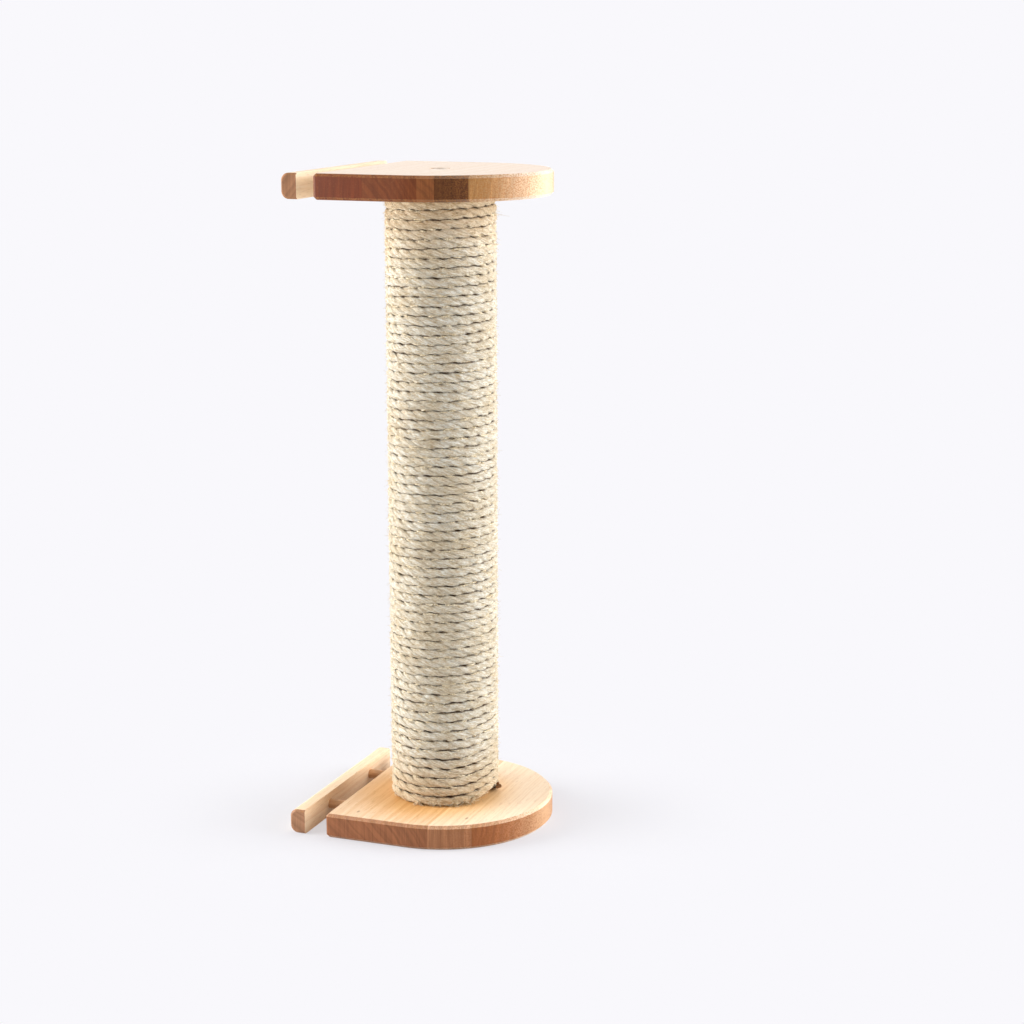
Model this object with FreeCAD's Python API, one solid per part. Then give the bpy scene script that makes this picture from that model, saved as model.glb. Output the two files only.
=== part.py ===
import FreeCAD, Part
import math
import os
from FreeCAD import Vector

# Cat scratching post, in millimetres: two equal D-shaped boards, a cardboard
# tube wound with sisal rope between them, and a wall bar with two dowels that
# plugs into the straight edge of each board.
# +Z is up and the post stands on the floor at Z 0. +X runs from the bars to
# the round noses of the boards. The origin is the middle of the base's box.

# Overall
overall_height = 400.0

# Boards
shelf_thickness = 15.0
shelf_width = 134.0
shelf_depth = 118.5
shelf_corner_radius = 2.5
shelf_rim_chamfer = 1.4

# Wall bars
bar_thickness = 10.0
bar_height = 15.0
bar_length = 128.6
bar_side_shift = 2.2
bar_wall_edge_radius = 4.0
bar_edge_chamfer = 0.7
bottom_bar_gap = 13.9
top_bar_gap = 10.2

# Dowels, glued in the bars and sliding in the boards
dowel_diameter = 6.0
dowel_length = 36.0
dowel_spacing = 60.0
dowel_chamfer = 0.8
dowel_seat_depth = 7.0
dowel_hole_depth = 31.0
dowel_glue_clearance = 0.03
dowel_sliding_clearance = 0.1

# Tube and its wooden end plugs
tube_outer_diameter = 55.6
tube_wall = 4.0
plug_length = 30.0
plug_clearance = 0.1

# Bolts with sunk socket heads, and the threaded inserts that take them
bolt_diameter = 8.0
bolt_length = 35.0
bolt_head_diameter = 12.6
bolt_head_height = 4.0
bolt_head_sink = 0.5
bolt_hole_clearance = 0.25
counterbore_clearance = 0.3
counterbore_chamfer = 0.4
socket_width = 5.0
socket_depth = 3.0
insert_diameter = 11.0
insert_length = 16.0
insert_clearance = 0.05
thread_clearance = 0.05

# Flat brad nails driven through the tube into each plug
nails_per_plug = 4
nail_width = 1.6
nail_thickness = 1.2
nail_length = 14.0
nail_sink = 0.3
nail_height = 22.0

# Rope
rope_diameter = 5.6
rope_turn_gap = 0.45
rope_tube_clearance = 0.2
rope_sleeve_gap = 0.3
rope_sleeve_chamfer = 1.2
rope_end_angle = 12.5
rope_sides = 6
turns_shown = 10
arcs_per_turn = 2
samples_per_turn = 180

# Worked out
bottom_bar_reach = bottom_bar_gap + bar_thickness
shelf_back_x = (bottom_bar_reach - shelf_depth) / 2
nose_radius = shelf_width / 2
post_x = shelf_back_x + shelf_depth - nose_radius
column_height = overall_height - 2 * shelf_thickness
column_top = overall_height - shelf_thickness
tube_radius = tube_outer_diameter / 2
tube_bore_radius = tube_radius - tube_wall
dowel_height = shelf_thickness / 2
rope_turns = round((column_height - rope_diameter) / rope_diameter)
rope_pitch = (column_height - rope_diameter) / rope_turns
winding_turns = min(turns_shown, rope_turns)
section_diameter = rope_pitch - rope_turn_gap
section_radius = section_diameter / 2
winding_radius = tube_radius + rope_tube_clearance + section_radius
winding_foot = shelf_thickness + rope_diameter / 2

UP = Vector(0, 0, 1)
ALONG_X = Vector(1, 0, 0)


def edges_at_height(shape, height):
    """Edges that lie flat at one height."""
    return [e for e in shape.Edges
            if abs(e.BoundBox.ZMin - height) < 1e-6 and abs(e.BoundBox.ZMax - height) < 1e-6]


def upright_edges_at_x(shape, x):
    """Vertical edges in the plane across X."""
    return [e for e in shape.Edges
            if e.BoundBox.ZLength > 1e-6
            and abs(e.BoundBox.XMin - x) < 1e-6 and abs(e.BoundBox.XMax - x) < 1e-6]


def flipped(shape):
    """The same piece at the other end of the post."""
    return shape.mirror(Vector(0, 0, overall_height / 2), UP)


def dowel_places():
    """Height and side of the two dowels of the lower board."""
    return [Vector(0, side * dowel_spacing / 2, dowel_height) for side in (-1, 1)]


# Boards
def board_blank():
    """D-shaped board with a half-round nose concentric with the post."""
    back, side, tangent_x = shelf_back_x, nose_radius, post_x
    front_left = Vector(tangent_x, -side, 0)
    front_right = Vector(tangent_x, side, 0)
    nose = Vector(tangent_x + nose_radius, 0, 0)
    outline = Part.Wire([
        Part.makeLine(Vector(back, -side, 0), front_left),
        Part.Arc(front_left, nose, front_right).toShape(),
        Part.makeLine(front_right, Vector(back, side, 0)),
        Part.makeLine(Vector(back, side, 0), Vector(back, -side, 0))])
    blank = Part.Face(outline).extrude(UP * shelf_thickness)
    blank = blank.makeFillet(shelf_corner_radius, upright_edges_at_x(blank, back))
    rims = edges_at_height(blank, 0) + edges_at_height(blank, shelf_thickness)
    return blank.makeChamfer(shelf_rim_chamfer, rims)


def bolt_hole():
    """Through hole and flat counterbore for the sunk bolt head, from below."""
    axis_foot = Vector(post_x, 0, 0)
    through = Part.makeCylinder(bolt_diameter / 2 + bolt_hole_clearance, shelf_thickness, axis_foot)
    bore_radius = bolt_head_diameter / 2 + counterbore_clearance
    bore = Part.makeCylinder(bore_radius, bolt_head_sink + bolt_head_height, axis_foot)
    mouth = Part.makeCone(bore_radius + counterbore_chamfer, bore_radius, counterbore_chamfer, axis_foot)
    return [through, bore, mouth]


def dowel_sockets():
    """Blind holes in the straight edge that the dowels slide in."""
    radius = dowel_diameter / 2 + dowel_sliding_clearance
    start = Vector(shelf_back_x, 0, 0)
    return [Part.makeCylinder(radius, dowel_hole_depth, start + place, ALONG_X)
            for place in dowel_places()]


def board():
    return board_blank().cut(bolt_hole() + dowel_sockets())


# Wall bars
def wall_bar(gap):
    """Bar rounded on its wall side, a little off the dowels' middle, bored for both of them."""
    inner_x = shelf_back_x - gap
    outer_x = inner_x - bar_thickness
    corner = Vector(outer_x, -bar_length / 2 - bar_side_shift, 0)
    bar = Part.makeBox(bar_thickness, bar_length, bar_height, corner)
    long_edges = [e for e in bar.Edges if e.BoundBox.YLength > bar_length - 1e-6]
    wall_edges = [e for e in long_edges if abs(e.BoundBox.XMin - outer_x) < 1e-6]
    bar = bar.makeFillet(bar_wall_edge_radius, wall_edges)
    inner_edges = [e for e in bar.Edges
                   if e.BoundBox.YLength > bar_length - 1e-6 and abs(e.BoundBox.XMin - inner_x) < 1e-6]
    end_edges = [e for e in bar.Edges if e.BoundBox.YLength < 1e-6]
    bar = bar.makeChamfer(bar_edge_chamfer, inner_edges + end_edges)
    radius = dowel_diameter / 2 + dowel_glue_clearance
    holes = [Part.makeCylinder(radius, dowel_seat_depth, Vector(inner_x, 0, 0) + place, ALONG_X * -1)
             for place in dowel_places()]
    return bar.cut(holes)


def bar_dowel(gap, place):
    """Dowel from the bottom of its hole in the bar into the board, chamfered there."""
    radius, tip = dowel_diameter / 2, dowel_length - dowel_chamfer
    outline = [(0, 0), (radius, 0), (radius, tip), (radius - dowel_chamfer, dowel_length), (0, dowel_length)]
    points = [Vector(along, out, 0) for out, along in outline]
    profile = Part.Face(Part.makePolygon(points + points[:1]))
    dowel = Part.Solid(profile.revolve(Vector(0, 0, 0), ALONG_X, 360))
    dowel.translate(Vector(shelf_back_x - gap - dowel_seat_depth, 0, 0) + place)
    return dowel


# Tube, plugs and what holds them
def nails():
    """Nails driven straight in round one plug, halfway between the X and Y axes."""
    axis_point = Vector(post_x, 0, shelf_thickness + nail_height)
    step = 360.0 / nails_per_plug
    tip = Vector(tube_radius - nail_sink - nail_length, -nail_width / 2, -nail_thickness / 2)
    driven = []
    for i in range(nails_per_plug):
        nail = Part.makeBox(nail_length, nail_width, nail_thickness, tip)
        nail.Placement = FreeCAD.Placement(axis_point, FreeCAD.Rotation(UP, step * (i + 0.5)))
        driven.append(nail)
    return Part.makeCompound(driven)


def post_tube():
    foot = Vector(post_x, 0, shelf_thickness)
    outside = Part.makeCylinder(tube_radius, column_height, foot)
    return outside.cut(Part.makeCylinder(tube_bore_radius, column_height, foot))


def end_plug():
    """Turned wooden plug, bored through and stepped for its insert."""
    foot = Vector(post_x, 0, shelf_thickness)
    body = Part.makeCylinder(tube_bore_radius - plug_clearance, plug_length, foot)
    bore = Part.makeCylinder(bolt_diameter / 2 + bolt_hole_clearance, plug_length, foot)
    insert_hole = Part.makeCylinder(insert_diameter / 2 + insert_clearance, insert_length, foot)
    return body.cut([bore, insert_hole])


def threaded_insert():
    """Insert in the plug, flush with its end."""
    foot = Vector(post_x, 0, shelf_thickness)
    body = Part.makeCylinder(insert_diameter / 2, insert_length, foot)
    return body.cut(Part.makeCylinder(bolt_diameter / 2 + thread_clearance, insert_length, foot))


def socket_bolt():
    """Bolt with a low round head, sunk in the board, and a hexagon socket."""
    head_face = Vector(post_x, 0, bolt_head_sink)
    head = Part.makeCylinder(bolt_head_diameter / 2, bolt_head_height, head_face)
    shank = Part.makeCylinder(bolt_diameter / 2, bolt_length, head_face + UP * bolt_head_height)
    corner_radius = socket_width / 2 / math.cos(math.pi / 6)
    corners = [head_face + Vector(corner_radius * math.cos(math.radians(60 * i)),
                                  corner_radius * math.sin(math.radians(60 * i)), 0)
               for i in range(6)]
    socket = Part.Face(Part.makePolygon(corners + corners[:1])).extrude(UP * socket_depth)
    return head.fuse(shank).cut(socket)


# Rope
def winding_point(turn):
    """Centre of the rope after so many turns, and its direction there."""
    angle = math.radians(rope_end_angle) + 2 * math.pi * turn
    climb = rope_pitch / (2 * math.pi)
    point = Vector(post_x + winding_radius * math.cos(angle),
                   winding_radius * math.sin(angle),
                   winding_foot + rope_pitch * turn)
    direction = Vector(-winding_radius * math.sin(angle), winding_radius * math.cos(angle), climb)
    return point, direction.normalize()


def tangent_arc(start, corner, end):
    """Arc from start to end that touches both lines to the corner."""
    middle = (start + end) * 0.5
    half_chord = (end - start).Length / 2
    to_corner = corner - middle
    radius = half_chord * (corner - start).Length / to_corner.Length
    sagitta = radius - math.sqrt(radius ** 2 - half_chord ** 2)
    return Part.Arc(start, middle + to_corner.normalize() * sagitta, end).toShape()


def biarc(start, start_direction, end, end_direction):
    """Two arcs, tangent to each other, between two points and directions."""
    chord = end - start
    both = start_direction + end_direction
    turning = 2 * (1 - start_direction.dot(end_direction))
    along = chord.dot(both)
    reach = (math.sqrt(along ** 2 + turning * chord.dot(chord)) - along) / turning
    first_corner = start + start_direction * reach
    second_corner = end - end_direction * reach
    joint = (first_corner + second_corner) * 0.5
    return [tangent_arc(start, first_corner, joint), tangent_arc(joint, second_corner, end)]


def winding_path():
    """Helix of biarcs with a straight run of one diameter at each end."""
    first, first_direction = winding_point(0)
    last, last_direction = winding_point(winding_turns)
    edges = [Part.makeLine(first - first_direction * section_diameter, first)]
    for i in range(winding_turns * arcs_per_turn):
        start, start_direction = winding_point(i / arcs_per_turn)
        end, end_direction = winding_point((i + 1) / arcs_per_turn)
        edges += biarc(start, start_direction, end, end_direction)
    edges.append(Part.makeLine(last, last + last_direction * section_diameter))
    return Part.Wire(edges)


def rope_section(centre, direction):
    """Section of a few equal sides, square to the path."""
    outwards = Vector(direction.y, -direction.x, 0).normalize()
    upwards = outwards.cross(direction)
    angles = [2 * math.pi * i / rope_sides for i in range(rope_sides)]
    corners = [centre + (outwards * math.cos(angle) + upwards * math.sin(angle)) * section_radius
               for angle in angles]
    return Part.makePolygon(corners + corners[:1])


def print_rope(path, winding):
    """Least gap between one turn and the next, and the volume it should have."""
    samples = path.discretize(Number=winding_turns * samples_per_turn)
    nearest = samples_per_turn // 2
    farthest = nearest + samples_per_turn
    least = min((samples[i] - samples[j]).Length
                for i in range(len(samples))
                for j in range(i + nearest, min(i + farthest, len(samples))))
    gap = least - section_diameter
    print("rope: %d of %d turns, least gap to itself %.3f mm" % (winding_turns, rope_turns, gap))
    first, direction = winding_point(0)
    area = Part.Face(rope_section(first, direction)).Area
    print("rope: volume %.0f mm3, section times length %.0f mm3" % (winding.Volume, area * path.Length))


def rope_winding():
    """The lowest turns of the rope, as one unbroken tube."""
    path = winding_path()
    first, direction = winding_point(0)
    section = rope_section(first - direction * section_diameter, direction)
    winding = path.makePipeShell([section], True, False)
    print_rope(path, winding)
    return winding


def rope_sleeve():
    """The rest of the wound rope, as a plain sleeve of its outer size."""
    foot = winding_foot + rope_pitch * winding_turns + section_radius + rope_sleeve_gap
    inner = tube_radius + rope_tube_clearance
    sleeve = Part.makeCylinder(inner + section_diameter, column_top - foot, Vector(post_x, 0, foot))
    rims = edges_at_height(sleeve, foot) + edges_at_height(sleeve, column_top)
    sleeve = sleeve.makeChamfer(rope_sleeve_chamfer, rims)
    return sleeve.cut(Part.makeCylinder(inner, column_height, Vector(post_x, 0, shelf_thickness)))


def write(name, shape):
    for solid in shape.Solids:
        if not solid.isValid():
            raise ValueError(name + " has a bad solid")
    shape.exportStep("parts/" + name + ".step")
    print("%-22s %d solid(s) %10.0f mm3" % (name, len(shape.Solids), shape.Volume))


os.makedirs("parts", exist_ok=True)

write("bottom_shelf", board())
write("top_shelf", flipped(board()))
write("bottom_wall_bar", wall_bar(bottom_bar_gap))
write("top_wall_bar", flipped(wall_bar(top_bar_gap)))
for side_name, dowel_place in zip(("left", "right"), dowel_places()):
    write("bottom_" + side_name + "_dowel", bar_dowel(bottom_bar_gap, dowel_place))
    write("top_" + side_name + "_dowel", flipped(bar_dowel(top_bar_gap, dowel_place)))
write("post_tube", post_tube())
write("lower_plug", end_plug())
write("upper_plug", flipped(end_plug()))
write("lower_plug_nails", nails())
write("upper_plug_nails", flipped(nails()))
write("lower_insert", threaded_insert())
write("upper_insert", flipped(threaded_insert()))
write("lower_bolt", socket_bolt())
write("upper_bolt", flipped(socket_bolt()))
write("sisal_rope", Part.makeCompound([rope_winding(), rope_sleeve()]))
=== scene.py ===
import math
import random

import bmesh
import bpy
import numpy as np
from mathutils import Matrix, Vector, noise


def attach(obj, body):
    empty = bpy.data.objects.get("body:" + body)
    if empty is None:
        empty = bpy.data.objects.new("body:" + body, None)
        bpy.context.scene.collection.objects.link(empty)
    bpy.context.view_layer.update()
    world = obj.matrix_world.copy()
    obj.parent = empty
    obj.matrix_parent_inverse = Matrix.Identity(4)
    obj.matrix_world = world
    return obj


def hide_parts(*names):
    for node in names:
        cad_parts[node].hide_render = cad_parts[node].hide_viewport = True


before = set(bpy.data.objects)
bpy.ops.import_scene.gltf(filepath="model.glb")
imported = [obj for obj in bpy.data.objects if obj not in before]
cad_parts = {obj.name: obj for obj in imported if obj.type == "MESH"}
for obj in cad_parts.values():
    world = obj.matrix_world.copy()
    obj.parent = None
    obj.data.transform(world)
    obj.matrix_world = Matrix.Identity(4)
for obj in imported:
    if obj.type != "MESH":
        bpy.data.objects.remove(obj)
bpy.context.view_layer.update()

# Studio ------------------------------------------------------------------
# A pale floor that runs to the horizon. As the camera sees it, a big softbox stands
# level with the post on either side and a weak one hangs over it, and a weak even
# fill comes from all round.
MM = 0.001


def deselect_all():
    bpy.ops.object.select_all(action="DESELECT")


def linear(hex_colour):
    """sRGB hex to the linear colour that a shader takes."""
    channels = [int(hex_colour[i:i + 2], 16) / 255 for i in (1, 3, 5)]
    return [c / 12.92 if c <= 0.04045 else ((c + 0.055) / 1.055) ** 2.4 for c in channels] + [1.0]


def add_node(tree, kind, inputs, **settings):
    """Adds a node with its settings; inputs are values, or the outputs that feed it."""
    made = tree.nodes.new(kind)
    for name, value in settings.items():
        setattr(made, name, value)
    for socket, value in inputs.items():
        if isinstance(value, bpy.types.NodeSocket):
            tree.links.new(value, made.inputs[socket])
        else:
            made.inputs[socket].default_value = value
    return made


def empty_material(name):
    """A new material with nothing in it yet, and its node tree."""
    made = bpy.data.materials.new(name)
    made.use_nodes = True
    made.node_tree.nodes.clear()
    return made, made.node_tree


def seen_background(tree):
    """1 for the rays of the camera, of gloss and of glass, which see the background's own colour,
    and 0 for the rays that light the object."""
    ray = add_node(tree, "ShaderNodeLightPath", {}).outputs
    seen = add_node(tree, "ShaderNodeMath", {0: ray["Is Camera Ray"], 1: ray["Is Glossy Ray"]},
                    operation="MAXIMUM")
    seen = add_node(tree, "ShaderNodeMath", {0: seen.outputs[0], 1: ray["Is Transmission Ray"]},
                    operation="MAXIMUM")
    return seen.outputs[0]


camera_place = (0.5066, -1.2063, 0.4796)
camera_turn = math.radians(20.77)
camera_dip = math.radians(12.39)
camera_roll = math.radians(-0.096)
camera_lens = 77.15
camera_film = 36

camera = bpy.data.objects.new("camera", bpy.data.cameras.new("camera"))
bpy.context.scene.collection.objects.link(camera)
camera.data.lens = camera_lens
camera.data.sensor_width = camera_film
looking = Matrix.Rotation(camera_turn, 4, "Z") @ Matrix.Rotation(math.pi / 2 - camera_dip, 4, "X")
camera.matrix_world = Matrix.Translation(camera_place) @ looking @ Matrix.Rotation(camera_roll, 4, "Z")
bpy.context.scene.camera = camera

softbox_aim = Vector((0.0, 0.0, 0.2))
softbox_length = 1.3


def softbox(name, place, width, watts):
    """A flat lamp that faces the middle of the post."""
    lamp = bpy.data.lights.new(name, "AREA")
    lamp.shape = "RECTANGLE"
    lamp.size = width
    lamp.size_y = softbox_length
    lamp.energy = watts
    stand = bpy.data.objects.new(name, lamp)
    bpy.context.scene.collection.objects.link(stand)
    turn = (softbox_aim - Vector(place)).to_track_quat("-Z", "Y")
    stand.matrix_world = Matrix.Translation(place) @ turn.to_matrix().to_4x4()


softbox("right_softbox", (1.34, 0.50, 0.45), 1.2, 40)
softbox("left_softbox", (-1.36, -0.54, 0.45), 1.2, 44)
softbox("top_softbox", (0.05, 0.25, 1.75), 1.3, 6)

backdrop_colour = "#F9F8FC"
fill_colour = "#FFFDFA"
fill_strength = 0.43

world = bpy.data.worlds.new("studio")
bpy.context.scene.world = world
world.use_nodes = True
sky = world.node_tree
sky.nodes.clear()
fill = add_node(sky, "ShaderNodeBackground", {"Color": linear(fill_colour), "Strength": fill_strength})
backdrop = add_node(sky, "ShaderNodeBackground", {"Color": linear(backdrop_colour), "Strength": 1.0})
sky_mix = add_node(sky, "ShaderNodeMixShader",
                   {0: seen_background(sky), 1: fill.outputs[0], 2: backdrop.outputs[0]})
add_node(sky, "ShaderNodeOutputWorld", {"Surface": sky_mix.outputs[0]})
bpy.context.scene.view_settings.view_transform = "Standard"

# Floor: matt white board. Near the post, half paint and half glow, it takes a soft
# shadow. Further out, what the camera sees of it fades into the backdrop's colour.
floor_radius = 9.0
shadow_reach = 75 * MM
backdrop_from = 210 * MM
near_glow_strength = 0.50

deselect_all()
bpy.ops.mesh.primitive_circle_add(vertices=96, radius=floor_radius, fill_type="NGON", location=(0, 0, 0))
floor = bpy.context.object
floor.name = "floor"
floor_paint, tree = empty_material("matt_white_floor")
place = add_node(tree, "ShaderNodeTexCoord", {})
from_middle = add_node(tree, "ShaderNodeVectorMath", {0: place.outputs["Object"]}, operation="LENGTH")
fade = add_node(tree, "ShaderNodeMapRange",
                {"Value": from_middle.outputs["Value"], "From Min": shadow_reach, "From Max": backdrop_from},
                interpolation_type="SMOOTHSTEP")
matt = add_node(tree, "ShaderNodeBsdfDiffuse", {"Color": linear("#DADADC")})
near_matt = add_node(tree, "ShaderNodeBsdfDiffuse", {"Color": linear("#9C9CA0")})
near_glow = add_node(tree, "ShaderNodeEmission",
                     {"Color": linear(backdrop_colour), "Strength": near_glow_strength})
near_floor = add_node(tree, "ShaderNodeAddShader", {0: near_matt.outputs[0], 1: near_glow.outputs[0]})
far_floor = add_node(tree, "ShaderNodeEmission", {"Color": linear(backdrop_colour), "Strength": 1.0})
seen_floor = add_node(tree, "ShaderNodeMixShader",
                      {0: fade.outputs[0], 1: near_floor.outputs[0], 2: far_floor.outputs[0]})
floor_mix = add_node(tree, "ShaderNodeMixShader",
                     {0: seen_background(tree), 1: matt.outputs[0], 2: seen_floor.outputs[0]})
add_node(tree, "ShaderNodeOutputMaterial", {"Surface": floor_mix.outputs[0]})
floor.data.materials.append(floor_paint)

# Boards ------------------------------------------------------------------
# Two D-shaped boards of rubberwood, 15 mm thick, glued up from staves whose
# grain runs along the straight edge. Their rims are chamfered by a router, and
# each is drilled for a sunk bolt and for the two dowels of its wall bar.
shelf_thickness = 15.0 * MM
shelf_back = -47.3 * MM
nose_radius = 67.0 * MM
nose_facets = 192
post_x = 4.2 * MM
corner_radius = 2.5 * MM
rim_chamfer = 1.7 * MM
top_underside = 385.0 * MM
bolt_bore_radius = 6.6 * MM
bolt_bore_depth = 4.5 * MM
bolt_hole_radius = 4.25 * MM
dowel_side = 30.0 * MM
dowel_height = 7.5 * MM
dowel_hole_radius = 3.1 * MM
dowel_hole_depth = 31.0 * MM

# Places nearer to each other than SAME count as one, and only edges sharper than
# sharp_angle are bevelled
SAME = 0.01 * MM
X, Y, Z = range(3)
sharp_angle = math.radians(30)
bore_facets = 64


def distance_from(tree, place, centre, weights):
    """How far a spot lies from a centre, with each direction counted by its weight."""
    apart = add_node(tree, "ShaderNodeVectorMath", {0: place, 1: centre}, operation="SUBTRACT")
    weighed = add_node(tree, "ShaderNodeVectorMath", {0: apart.outputs[0], 1: weights}, operation="MULTIPLY")
    length = add_node(tree, "ShaderNodeVectorMath", {0: weighed.outputs[0]}, operation="LENGTH")
    return length.outputs["Value"]


def drawn_out_noise(tree, place, per_mm, detail, roughness=0.5, start=(0.0, 0.0, 0.0)):
    """Noise with so many cells per millimetre in each direction, so that it runs along the grain."""
    stretched = add_node(tree, "ShaderNodeMapping", {"Vector": place, "Location": start, "Scale": per_mm})
    return add_node(tree, "ShaderNodeTexNoise", {"Vector": stretched.outputs[0], "Scale": 1.0,
                                                 "Detail": detail, "Roughness": roughness})


def stave_looks(tree, across, staves, joints):
    """Pith, end grain colour and face tone of the stave that a spot lies in."""
    (pith_across, pith_up), end_hex, shade = staves[0]
    pith = add_node(tree, "ShaderNodeVectorMath", {0: (pith_across, 0.0, pith_up)}).outputs[0]
    end_colour = linear(end_hex)
    for joint, ((pith_across, pith_up), end_hex, next_shade) in zip(joints, staves[1:]):
        past = add_node(tree, "ShaderNodeMath", {0: across, 1: joint}, operation="GREATER_THAN").outputs[0]
        pith = add_node(tree, "ShaderNodeMix", {0: past, 4: pith, 5: (pith_across, 0.0, pith_up)},
                        data_type="VECTOR").outputs[1]
        end_colour = add_node(tree, "ShaderNodeMix", {0: past, 6: end_colour, 7: linear(end_hex)},
                              data_type="RGBA").outputs[2]
        shade = add_node(tree, "ShaderNodeMix", {0: past, 2: shade, 3: next_shade}).outputs[0]
    return pith, end_colour, shade


def rubberwood(name, light, dark, staves, joints=(), grain_turn=0.0, ring_width=3.2, amber=0.0, flecks=(),
               painted_side_shade="#FFFFFF", seed=0.0):
    """Oiled rubberwood: pale straw with faint growth rings and short dark pores. End grain drinks
    the oil, so it turns reddish brown. The side tint is painted shade, which darkens all upright
    faces against the top ones. A stave is given by where the pith of its tree lay, across the grain and up,
    by its end grain's colour and by how dark its face is. Joints lie across the grain. Sizes are in mm."""
    made, tree = empty_material(name)
    place = add_node(tree, "ShaderNodeTexCoord", {})
    grain = add_node(tree, "ShaderNodeMapping",
                     {"Vector": place.outputs["Object"], "Rotation": (0, 0, grain_turn),
                      "Scale": (1 / MM, 1 / MM, 1 / MM)}).outputs[0]
    across = add_node(tree, "ShaderNodeSeparateXYZ", {0: grain}).outputs["X"]
    pith, end_colour, shade = stave_looks(tree, across, staves, joints)
    # Growth rings about the pith, which lies along the grain, wavy by a few millimetres
    wave = drawn_out_noise(tree, grain, (0.05, 0.007, 0.05), 2.0, start=(seed, seed, seed))
    wavy = add_node(tree, "ShaderNodeVectorMath", {0: wave.outputs["Color"], 1: (7.0, 0.0, 7.0), 2: grain},
                    operation="MULTIPLY_ADD")
    from_pith = distance_from(tree, wavy.outputs[0], pith, (1.0, 0.0, 1.0))
    ring_count = add_node(tree, "ShaderNodeMath", {0: from_pith, 1: 1.0 / ring_width}, operation="MULTIPLY")
    rings = add_node(tree, "ShaderNodeTexNoise",
                     {"W": ring_count.outputs[0], "Scale": 1.0, "Detail": 3.0, "Roughness": 0.6},
                     noise_dimensions="1D")
    ring_tone = add_node(tree, "ShaderNodeMapRange",
                         {"Value": rings.outputs["Fac"], "From Min": 0.34, "From Max": 0.68})
    # Fibre streaks about 1 mm wide and 40 mm long
    streaks = drawn_out_noise(tree, grain, (1.1, 0.025, 1.1), 3.0)
    # Pores are about 0.2 mm wide, and are drawn 0.5 mm wide and 6 mm long so that they show
    pores = drawn_out_noise(tree, grain, (1.9, 0.17, 1.9), 1.0)
    pore_mask = add_node(tree, "ShaderNodeMapRange",
                         {"Value": pores.outputs["Fac"], "From Min": 0.60, "From Max": 0.72})
    # Rings and streaks make the tone of the face, from the light colour to the dark one
    tone = add_node(tree, "ShaderNodeMath", {0: ring_tone.outputs[0], 1: 0.45, 2: shade},
                    operation="MULTIPLY_ADD")
    tone = add_node(tree, "ShaderNodeMath", {0: streaks.outputs["Fac"], 1: 0.70, 2: tone.outputs[0]},
                    operation="MULTIPLY_ADD")
    tone = add_node(tree, "ShaderNodeMath", {0: tone.outputs[0], 1: 0.22}, operation="SUBTRACT",
                    use_clamp=True)
    wood = add_node(tree, "ShaderNodeMix", {0: tone.outputs[0], 6: linear(light), 7: linear(dark)},
                    data_type="RGBA")
    # The bolt's bore was drilled after oiling, so it stays pale
    from_bolt = distance_from(tree, place.outputs["Object"], (post_x, 0.0, 0.0), (1.0, 1.0, 0.0))
    oiled = add_node(tree, "ShaderNodeMath", {0: from_bolt, 1: 1.2 * bolt_bore_radius},
                     operation="GREATER_THAN")
    # End grain, where the surface faces along the grain: rings in bands, and fine stripes across them
    facing = add_node(tree, "ShaderNodeVectorRotate",
                      {"Vector": place.outputs["Normal"], "Angle": grain_turn}, rotation_type="Z_AXIS")
    facing = add_node(tree, "ShaderNodeSeparateXYZ", {0: facing.outputs[0]})
    along = add_node(tree, "ShaderNodeMath", {0: facing.outputs["Y"]}, operation="ABSOLUTE")
    cut_end = add_node(tree, "ShaderNodeMapRange",
                       {"Value": along.outputs[0], "From Min": 0.02, "From Max": 0.74},
                       interpolation_type="SMOOTHSTEP")
    cut_end = add_node(tree, "ShaderNodeMath", {0: cut_end.outputs[0], 1: oiled.outputs[0]},
                       operation="MULTIPLY")
    stripes = drawn_out_noise(tree, grain, (1.3, 0.02, 0.04), 2.0)
    end_tone = add_node(tree, "ShaderNodeMapRange",
                        {"Value": ring_tone.outputs[0], "To Min": 1.15, "To Max": 0.84})
    end_stripe = add_node(tree, "ShaderNodeMapRange",
                          {"Value": stripes.outputs["Fac"], "From Min": 0.32, "From Max": 0.68,
                           "To Min": 1.14, "To Max": 0.86})
    end_tone = add_node(tree, "ShaderNodeMath", {0: end_tone.outputs[0], 1: end_stripe.outputs[0]},
                        operation="MULTIPLY")
    end_wood = add_node(tree, "ShaderNodeMix", {0: 1.0, 6: end_colour, 7: end_tone.outputs[0]},
                        data_type="RGBA", blend_type="MULTIPLY")
    wood = add_node(tree, "ShaderNodeMix",
                    {0: cut_end.outputs[0], 6: wood.outputs[2], 7: end_wood.outputs[2]}, data_type="RGBA")
    # Where the rim cuts the grain at a slant, its pores show as specks
    slant = add_node(tree, "ShaderNodeMath", {0: 1.0, 1: along.outputs[0]}, operation="SUBTRACT")
    slant = add_node(tree, "ShaderNodeMath", {0: slant.outputs[0], 1: along.outputs[0]},
                     operation="MULTIPLY")
    specks = drawn_out_noise(tree, grain, (1.5, 0.7, 1.5), 2.0)
    speck_mask = add_node(tree, "ShaderNodeMapRange",
                          {"Value": specks.outputs["Fac"], "From Min": 0.44, "From Max": 0.62, "To Max": 3.2})
    speck_strength = add_node(tree, "ShaderNodeMath", {0: slant.outputs[0], 1: speck_mask.outputs[0]},
                              operation="MULTIPLY", use_clamp=True)
    wood = add_node(tree, "ShaderNodeMix",
                    {0: speck_strength.outputs[0], 6: wood.outputs[2], 7: linear("#A9743F")},
                    data_type="RGBA")
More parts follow.
